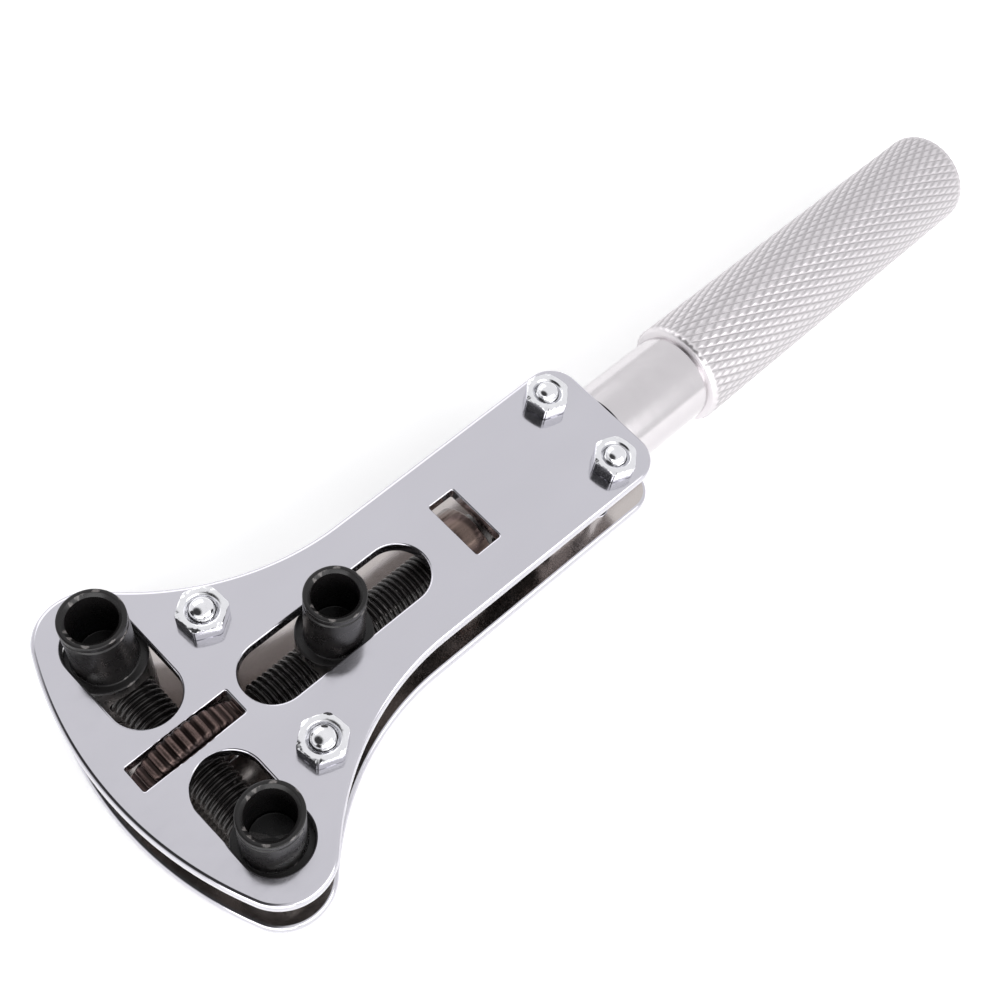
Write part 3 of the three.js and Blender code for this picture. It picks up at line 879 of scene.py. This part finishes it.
def make_neck(size, low, centre):
    """Turned neck and flattened tang, notched for the end bolts and bored for the screw's tail."""
    notch_radius = bpy.context.scene.opener_fasteners.bolt_radius + 2 * BOLT_GAP
    bore_radius = bpy.context.scene.opener_screws.tail_radius + RUNNING_GAP
    bore_depth = 4.7 * MM
    grip_low = grip_start(size)
    into_grip = grip_low + 0.3 * MM
    r = size.neck_radius
    waist = r - 0.22 * MM
    soft = 0.1 * MM
    profile = filleted(
        [
            (0.0, low.y, 0.0),
            (r, low.y, 0.25 * MM),
            (r, grip_low - 0.55 * MM, soft),
            (waist, grip_low - 0.4 * MM, soft),
            (waist, into_grip, 0.0),
            (0.0, into_grip, 0.0),
        ]
    )
    along = (centre.x, 0, centre.z)
    neck = turned_piece("handle_neck", profile[1:-1], NECK_SIDES, "Y", along, "turned")
    tools = []
    half = (PLATE_LOW.z - REAR_HIGH.z) / 2 - FACE_GAP
    for side, plate_end in ((-1, REAR_HIGH.y), (1, PLATE_HIGH.y)):
        shoulder = plate_end + FACE_GAP
        block = box_tool((4 * r, 2 * (shoulder - low.y), r))
        block.location = (centre.x, low.y, centre.z + side * (half + r / 2))
        tools.append(block)
        notch_at = middle("bolt_end_right" if side > 0 else "bolt_end_left")
        notch = rod_tool(notch_radius, 4 * r, "Z")
        notch.location = (notch_at.x, notch_at.y, centre.z)
        tools.append(notch)
    bore = rod_tool(bore_radius, 2 * bore_depth, "Y")
    bore.location = (centre.x, low.y, centre.z)
    tools.append(bore)
    cut(neck, tools)
    edge = neck.modifiers.new("Edges", "BEVEL")
    edge.width = 0.12 * MM
    edge.segments = 2
    edge.limit_method = "ANGLE"
    edge.angle_limit = math.radians(50)
    weighted(neck)
    settle(neck, "handle", "frame")


def box_tool(sides):
    """A block that cuts, with sides of the given lengths."""
    mesh = bpy.data.meshes.new("cutting_block")
    built = bmesh.new()
    bmesh.ops.create_cube(built, size=1.0)
    bmesh.ops.scale(built, vec=sides, verts=built.verts)
    built.to_mesh(mesh)
    built.free()
    tool = bpy.data.objects.new("cutting_block", mesh)
    bpy.context.scene.collection.objects.link(tool)
    return tool


def rod_tool(radius, reach, axis, sides=48):
    """A rod that cuts, its middle at the origin."""
    rows = [(-reach / 2, radius), (reach / 2, radius)]
    points, faces = turned_surface(rows, sides, axis, (0, 0, 0))
    return new_piece("cutting_rod", points, faces, ["bright"])


class OPENER_OT_handle(bpy.types.Operator):
    """Make the knurled grip, and the neck with its tang between the plates"""

    bl_idname = "opener.handle"
    bl_label = "Handle"

    def execute(self, context):
        size = context.scene.opener_handle
        low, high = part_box("handle")
        centre = (low + high) / 2
        make_neck(size, low, centre)
        radius = (high.x - low.x) / 2
        points, faces = grip_surface(size, grip_start(size), high.y, radius, centre)
        grip = new_piece("handle_grip", points, faces, ["knurled"], sharp=math.radians(60))
        settle(grip, "handle", "frame")
        return {"FINISHED"}


# ---------------------------------------------------------------- bolts, nuts and spacers

BOLT_SIDES = 48
NUT_SIDES = 144
SPACER_SIDES = 64


def make_bolt(place, size):
    """Slotted round head, thread where it leaves the front plate, and a domed tip."""
    node = "bolt_" + place
    low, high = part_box(node)
    centre = upright_axis(node)
    head_radius = (high.x - low.x) / 2
    head_top = -FACE_GAP
    r = size.bolt_radius
    thread_depth = 0.27 * MM
    head = filleted(
        [
            (AXIS_RADIUS, low.z, 0.0),
            (head_radius * 0.66, low.z, 0.5 * MM),
            (head_radius, low.z + 0.75 * MM, 0.6 * MM),
            (head_radius, head_top, 0.1 * MM),
            (r, head_top, 0.0),
        ]
    )
    rows = [(p.y, p.x) for p in head]
    thread_low = PLATE_HIGH.z - 0.5 * MM
    dome_low = high.z - size.tip_dome
    rows.append((thread_low, r))
    rows_per_pitch = dome_rows = 8
    steps = math.ceil((dome_low - thread_low) / (size.bolt_pitch / rows_per_pitch))
    for step in range(1, steps):
        along = thread_low + (dome_low - thread_low) * step / steps

        def rule(turn, along=along):
            return thread_radius_at(along, turn, 1, size.bolt_pitch, r, thread_depth)

        rows.append((along, rule))
    for step in range(dome_rows):
        turn = math.pi / 2 * step / dome_rows
        rows.append((dome_low + size.tip_dome * math.sin(turn), r * math.cos(turn) * 0.97))
    rows.append((high.z, 0.05 * MM))
    points, faces = turned_surface(rows, BOLT_SIDES, "Z", centre)
    bolt = new_piece(node + "_stud", points, faces, ["bright"])
    slot_tool = box_tool((3 * head_radius, size.head_slot, 2 * size.head_slot_depth))
    slot_tool.rotation_euler = Euler((0, 0, math.pi / 5))
    slot_tool.location = (centre.x, centre.y, low.z)
    cut(bolt, [slot_tool])
    settle(bolt, node, "frame")


# How far each nut came round when it was tightened, in degrees.
NUT_TURNS = {"end_left": 12.7, "end_right": 9.7, "fan_left": 4.6, "fan_right": 8.0}


def make_nut(place, size):
    """Hexagon whose corners are cut by a cone at the top, with a countersunk bore."""
    node = "nut_" + place
    low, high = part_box(node)
    centre = upright_axis(node)
    flat = size.nut_flats / 2
    bore = size.bolt_radius + BOLT_GAP
    turned = math.radians(NUT_TURNS[place]) + math.pi / 2
    slope = math.tan(math.radians(32))
    soft = 0.10 * MM
    blunt, blunt_reach = 0.16 * MM, math.radians(4)

    def hexagon(turn):
        off = (turn - turned + math.pi / 6) % (math.pi / 3) - math.pi / 6
        corner = math.pi / 6 - abs(off)
        sharp = flat / math.cos(off)
        return sharp - blunt * max(0.0, 1 - corner / blunt_reach) ** 2

    def shoulder(turn, drop=0.0):
        return high.z - max(0.0, hexagon(turn) - flat) * slope - drop

    def brow(turn):
        return min(high.z - 0.02 * MM, shoulder(turn) + 0.03 * MM)

    def brow_radius(turn):
        return min(hexagon(turn), flat + 0.2 * MM) - soft * 0.7

    rows = [
        (low.z + size.nut_mouth * 0.6, bore),
        (low.z, bore + size.nut_mouth * 0.6),
        (low.z, flat - 0.1 * MM),
        (low.z + 0.08 * MM, lambda t: hexagon(t) - 0.02 * MM),
        (lambda t: shoulder(t, soft), hexagon),
        (lambda t: shoulder(t, soft * 0.35), lambda t: hexagon(t) - soft * 0.3),
        (brow, brow_radius),
        (high.z, flat - soft * 1.6),
        (high.z, bore + size.nut_mouth + 0.06 * MM),
        (high.z - 0.03 * MM, bore + size.nut_mouth),
        (high.z - size.nut_mouth, bore),
    ]
    points, faces = turned_surface(rows, NUT_SIDES, "Z", centre, closed_loop=True)
    nut = new_piece(node + "_hex", points, faces, ["bright"], sharp=math.radians(28))
    settle(nut, node, "frame")


def make_spacer(place, size):
    """A tube with broken edges, between the plates."""
    node = "spacer_" + place
    low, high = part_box(node)
    centre = upright_axis(node)
    bore = size.bolt_radius + BOLT_GAP
    r = size.spacer_radius
    edge = 0.25 * MM
    profile = [
        (bore, low.z + edge),
        (bore + edge, low.z),
        (r - edge, low.z),
        (r, low.z + edge),
        (r, high.z - edge),
        (r - edge, high.z),
        (bore + edge, high.z),
        (bore, high.z - edge),
    ]
    name = node + "_tube"
    spacer = turned_piece(name, profile, SPACER_SIDES, "Z", centre, "bright", closed_loop=True)
    settle(spacer, node, "frame")


class OPENER_OT_fasteners(bpy.types.Operator):
    """Make the bolts, their nuts, and the spacers between the plates"""

    bl_idname = "opener.fasteners"
    bl_label = "Bolts, nuts and spacers"

    def execute(self, context):
        size = context.scene.opener_fasteners
        for place in BOLT_PLACES:
            make_bolt(place, size)
            make_nut(place, size)
        for place in SPACER_PLACES:
            make_spacer(place, size)
        return {"FINISHED"}


# ---------------------------------------------------------------- posts

POST_SIDES = 96
POST_BORE_SIDES = 64


def make_post(place, size):
    """Wide base between the plates, beaded tube with a socket, and the screw's cross bore."""
    node = "post_" + place
    low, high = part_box(node)
    centre = upright_axis(node)
    screw = bpy.context.scene.opener_screws
    base_top = PLATE_LOW.z - SIDE_GAP
    bead_low = high.z - size.bead_length
    groove = size.bead_groove
    edge = 0.3 * MM
    profile = filleted(
        [
            (AXIS_RADIUS, low.z, 0.0),
            (size.base_radius, low.z, edge),
            (size.base_radius, base_top, edge),
            (size.tube_radius, base_top, 0.25 * MM),
            (size.tube_radius, bead_low - 2.2 * groove, 0.12 * MM),
            (size.tube_radius - groove, bead_low - 1.1 * groove, 0.08 * MM),
            (size.tube_radius, bead_low, 0.16 * MM),
            (size.tube_radius, high.z, 0.30 * MM),
            (size.socket_radius + size.mouth_chamfer, high.z, 0.10 * MM),
            (size.socket_radius, high.z - size.mouth_chamfer, 0.10 * MM),
            (size.socket_radius, high.z - size.socket_depth, 0.2 * MM),
            (AXIS_RADIUS, high.z - size.socket_depth, 0.0),
        ],
        steps=5,
    )
    pairs = [(p.x, p.y) for p in profile]
    post = turned_piece(node + "_turned", pairs, POST_SIDES, "Z", centre, "blacked")
    bore_radius = screw.thread_radius + RUNNING_GAP
    screw_axis = "Y" if place == "top" else "X"
    bore = rod_tool(bore_radius, 3 * size.base_radius, screw_axis, POST_BORE_SIDES)
    bore.location = (centre.x, centre.y, SCREW_Z)
    cut(post, [bore])
    weighted(post)
    settle(post, node, place + "_post")


class OPENER_OT_posts(bpy.types.Operator):
    """Make the three turned posts that hold the bits"""

    bl_idname = "opener.posts"
    bl_label = "Posts"

    def execute(self, context):
        for place in POST_PLACES:
            make_post(place, context.scene.opener_posts)
        return {"FINISHED"}


# ---------------------------------------------------------------- screws and thumb wheels

ROWS_PER_PITCH = 12
SCREW_SIDES = 64
SCREW_SHARP = math.radians(50)
JOURNAL_EDGE = 0.08 * MM


def thread_rows(low, high, hand, size):
    """Rows of a threaded length, its ends chamfered down to the root."""
    chamfer_slope = 1.2
    steps = math.ceil((high - low) / size.pitch * ROWS_PER_PITCH)
    rows = []
    for step in range(steps + 1):
        along = low + (high - low) * step / steps
        to_end = min(along - low, high - along)
        cone = size.thread_radius - size.thread_depth + to_end * chamfer_slope

        def rule(turn, along=along, cone=cone):
            shape = (size.pitch, size.thread_radius, size.thread_depth)
            return min(thread_radius_at(along, turn, hand, *shape), cone)

        rows.append((along, rule))
    return rows


def journal_rows(low, high, size):
    """Rows of the plain length that holds a wheel, with broken edges."""
    journal = size.thread_radius + size.journal_step
    small = journal - JOURNAL_EDGE
    first = [(low, small), (low + JOURNAL_EDGE, journal)]
    return first + [(high - JOURNAL_EDGE, journal), (high, small)]


def make_cross_screw(size):
    """Left-hand thread, the wheel's journal, and right-hand thread."""
    low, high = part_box("cross_screw")
    half = span("cross_wheel").x / 2 + size.journal_step
    rows = thread_rows(low.x, -half, -1, size)
    rows += journal_rows(-half, half, size)
    rows += thread_rows(half, high.x, 1, size)
    points, faces = turned_surface(rows, SCREW_SIDES, "X", (0, CROSS_Y, SCREW_Z))
    screw = new_piece("cross_screw_bar", points, faces, ["threaded"], sharp=SCREW_SHARP)
    settle(screw, "cross_screw", "cross_drive")


def make_axial_screw(size):
    """Right-hand thread, the wheel's journal, and the tail that turns in the handle's tang."""
    low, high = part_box("axial_screw")
    journal = size.thread_radius + size.journal_step
    wheel_y = middle("axial_wheel").y
    half = span("axial_wheel").y / 2 + journal / 2
    tail = size.tail_radius
    rows = thread_rows(low.y, wheel_y - half, 1, size)
    rows += journal_rows(wheel_y - half, wheel_y + half, size)
    rows += [(wheel_y + half, tail), (high.y - JOURNAL_EDGE, tail), (high.y, tail - JOURNAL_EDGE)]
    points, faces = turned_surface(rows, SCREW_SIDES, "Y", (0, 0, SCREW_Z))
    screw = new_piece("axial_screw_bar", points, faces, ["threaded"], sharp=SCREW_SHARP)
    settle(screw, "axial_screw", "axial_drive")


def make_wheel(node, axis, teeth, depth, body, finish, size):
    """A thumb wheel: rounded ridges, chamfered rim and a shallow dish in each side."""
    sides = span(node)
    radius = sides.z / 2
    width = sides.x if axis == "X" else sides.y
    bore = size.thread_radius + size.journal_step + FACE_GAP
    half = width / 2
    first_ridge, ridge_flat, ridge_slope = 0.2, 1.35, 1.2

    def rim(turn, inset=0.0):
        phase = (turn * teeth / TURN) % 1.0
        wave = 0.5 + 0.5 * math.cos(TURN * (phase - first_ridge))
        return radius - inset - depth * (1 - min(1.0, wave * ridge_flat)) ** ridge_slope

    hub = bore + 1.3 * MM
    land = radius - 1.5 * MM
    dish = 0.25 * MM
    side_rows = [
        (half - 0.15 * MM, bore),
        (half, bore + 0.15 * MM),
        (half, hub),
        (half - dish, hub + 0.25 * MM),
        (half - dish, land - 0.25 * MM),
        (half, land),
        (half, lambda t: min(rim(t, 0.50 * MM), radius - depth - 0.2 * MM)),
        (half - 0.22 * MM, lambda t: rim(t, 0.18 * MM)),
        (half - 0.50 * MM, rim),
    ]
    rows = [(-along, r) for along, r in side_rows]
    rows += list(reversed(side_rows))
    centre = middle(node)
    steps_per_ridge = 10
    points, faces = turned_surface(rows, teeth * steps_per_ridge, axis, centre, closed_loop=True)
    wheel = new_piece(node + "_ridged", points, faces, [finish], sharp=math.radians(40))
    settle(wheel, node, body)


class OPENER_OT_screws(bpy.types.Operator):
    """Make the cross screw and the axial screw, with their V threads"""

    bl_idname = "opener.screws"
    bl_label = "Screws"

    def execute(self, context):
        size = context.scene.opener_screws
        make_cross_screw(size)
        make_axial_screw(size)
        return {"FINISHED"}


class OPENER_OT_wheels(bpy.types.Operator):
    """Make the two ridged thumb wheels"""

    bl_idname = "opener.wheels"
    bl_label = "Thumb wheels"

    def execute(self, context):
        size = context.scene.opener_screws
        cross_rim = (size.cross_teeth, size.cross_ridge)
        axial_rim = (size.axial_teeth, size.axial_ridge)
        make_wheel("cross_wheel", "X", *cross_rim, "cross_drive", "browned", size)
        # The axial wheel's paler finish is painted light.
        make_wheel("axial_wheel", "Y", *axial_rim, "axial_drive", "browned_painted_light", size)
        return {"FINISHED"}


# ---------------------------------------------------------------- stage

AIM = (0.0, 0.02, 0.007)
SKY_TINT = (0.985, 0.985, 1.0, 1.0)
SOFT_EDGE = 0.25

# Each softbox's name, place, width, height and power.
SOFTBOXES = (
    ("front softbox", (0.30, -0.42, 0.16), 0.5, 0.30, 1.2),
    ("right softbox", (0.42, 0.05, 0.30), 0.5, 0.35, 1.3),
    ("left softbox", (-0.50, 0.10, 0.35), 0.5, 0.35, 0.5),
)


def make_floor(tint, glow):
    """Matt paper that shines faintly of itself, so that shadows on it stay pale."""
    half = 1.2
    mesh = bpy.data.meshes.new("floor")
    z = CAD_BOX[0].z - FACE_GAP
    corners = [(-half, -half, z), (half, -half, z), (half, half, z), (-half, half, z)]
    mesh.from_pydata(corners, [], [(0, 1, 2, 3)])
    floor = bpy.data.objects.new("floor", mesh)
    bpy.context.scene.collection.objects.link(floor)
    finish = Finish("floor_paper", tint, 0.9, 0.0)
    fibre = finish.noise((0.02, 0.02, 0.02), 3.0)
    finish.coloured(finish.mixed_colours(fibre, finish.shade(0.99), finish.shade(1.01)))
    finish.shader.inputs["Specular IOR Level"].default_value = 0.1
    finish.shader.inputs["Emission Color"].default_value = (1.0, 1.0, 1.0, 1.0)
    finish.shader.inputs["Emission Strength"].default_value = glow
    mesh.materials.append(finish.material)


def softbox(name, place, wide, tall, power):
    lamp = bpy.data.lights.new(name, "AREA")
    lamp.shape = "RECTANGLE"
    lamp.size = wide
    lamp.size_y = tall
    lamp.energy = power
    holder = bpy.data.objects.new(name, lamp)
    holder.location = place
    away = Vector(AIM) - Vector(place)
    holder.rotation_mode = "QUATERNION"
    holder.rotation_quaternion = away.to_track_quat("-Z", "Y")
    bpy.context.scene.collection.objects.link(holder)


def make_sky(stage):
    """Even light from all round, but for a dark patch on the side that the camera is on."""
    world = bpy.data.worlds.new("studio")
    world.use_nodes = True
    tree = world.node_tree
    sky = tree.nodes["Background"]
    sky.inputs["Color"].default_value = SKY_TINT
    way = tree.nodes.new("ShaderNodeTexCoord")
    nearness = tree.nodes.new("ShaderNodeVectorMath")
    nearness.operation = "DOT_PRODUCT"
    nearness.inputs[1].default_value = Vector(stage.dark_way).normalized()
    strength = tree.nodes.new("ShaderNodeMapRange")
    strength.interpolation_type = "SMOOTHSTEP"
    strength.inputs["From Min"].default_value = math.cos(stage.dark_spread * (1 + SOFT_EDGE))
    strength.inputs["From Max"].default_value = math.cos(stage.dark_spread * (1 - SOFT_EDGE))
    strength.inputs["To Min"].default_value = stage.sky
    strength.inputs["To Max"].default_value = stage.sky * stage.dark_share
    tree.links.new(way.outputs["Generated"], nearness.inputs[0])
    tree.links.new(nearness.outputs["Value"], strength.inputs["Value"])
    tree.links.new(strength.outputs["Result"], sky.inputs["Strength"])
    bpy.context.scene.world = world


def make_camera(stage):
    camera = bpy.data.cameras.new("camera")
    camera.lens = stage.lens
    camera.sensor_width = 36.0
    camera.shift_x, camera.shift_y = stage.shift
    camera.clip_start = 0.01
    holder = bpy.data.objects.new("camera", camera)
    holder.location = stage.camera_place
    holder.rotation_euler = Euler(stage.camera_turn, "XYZ")
    bpy.context.scene.collection.objects.link(holder)
    bpy.context.scene.camera = holder


class OPENER_OT_stage(bpy.types.Operator):
    """Make the pale floor, the soft studio light and the camera"""

    bl_idname = "opener.stage"
    bl_label = "Stage"

    def execute(self, context):
        stage = context.scene.opener_stage
        make_floor(context.scene.opener_colours.floor, stage.floor_glow)
        make_sky(stage)
        for lamp in SOFTBOXES:
            softbox(*lamp)
        make_camera(stage)
        context.scene.view_settings.view_transform = "Standard"
        return {"FINISHED"}


# ---------------------------------------------------------------- panel, registration and run

GROUPS = {
    "opener_plates": OpenerPlateSizes,
    "opener_handle": OpenerHandleSizes,
    "opener_fasteners": OpenerFastenerSizes,
    "opener_posts": OpenerPostSizes,
    "opener_screws": OpenerScrewSizes,
    "opener_colours": OpenerColours,
    "opener_stage": OpenerStage,
}

OPERATORS = (
    OPENER_OT_plates,
    OPENER_OT_handle,
    OPENER_OT_fasteners,
    OPENER_OT_posts,
    OPENER_OT_screws,
    OPENER_OT_wheels,
    OPENER_OT_stage,
)


class OPENER_PT_panel(bpy.types.Panel):
    """Lists what can be made"""

    bl_idname = "OPENER_PT_panel"
    bl_label = "Case back opener"
    bl_space_type = "VIEW_3D"
    bl_region_type = "UI"
    bl_category = "Opener"

    def draw(self, context):
        for operator in OPERATORS:
            self.layout.operator(operator.bl_idname)
        for name, group in GROUPS.items():
            box = self.layout.box()
            box.label(text=group.__doc__)
            for field in group.__annotations__:
                box.prop(getattr(context.scene, name), field)


def register():
    for group in GROUPS.values():
        bpy.utils.register_class(group)
    for name, group in GROUPS.items():
        setattr(bpy.types.Scene, name, bpy.props.PointerProperty(type=group))
    for operator in OPERATORS:
        bpy.utils.register_class(operator)
    bpy.utils.register_class(OPENER_PT_panel)


def unregister():
    bpy.utils.unregister_class(OPENER_PT_panel)
    for operator in reversed(OPERATORS):
        bpy.utils.unregister_class(operator)
    for name, group in GROUPS.items():
        delattr(bpy.types.Scene, name)
        bpy.utils.unregister_class(group)


def main():
    register()
    bpy.ops.opener.plates()
    bpy.ops.opener.handle()
    bpy.ops.opener.fasteners()
    bpy.ops.opener.posts()
    bpy.ops.opener.screws()
    bpy.ops.opener.wheels()
    bpy.ops.opener.stage()


if __name__ == "__main__":
    main()
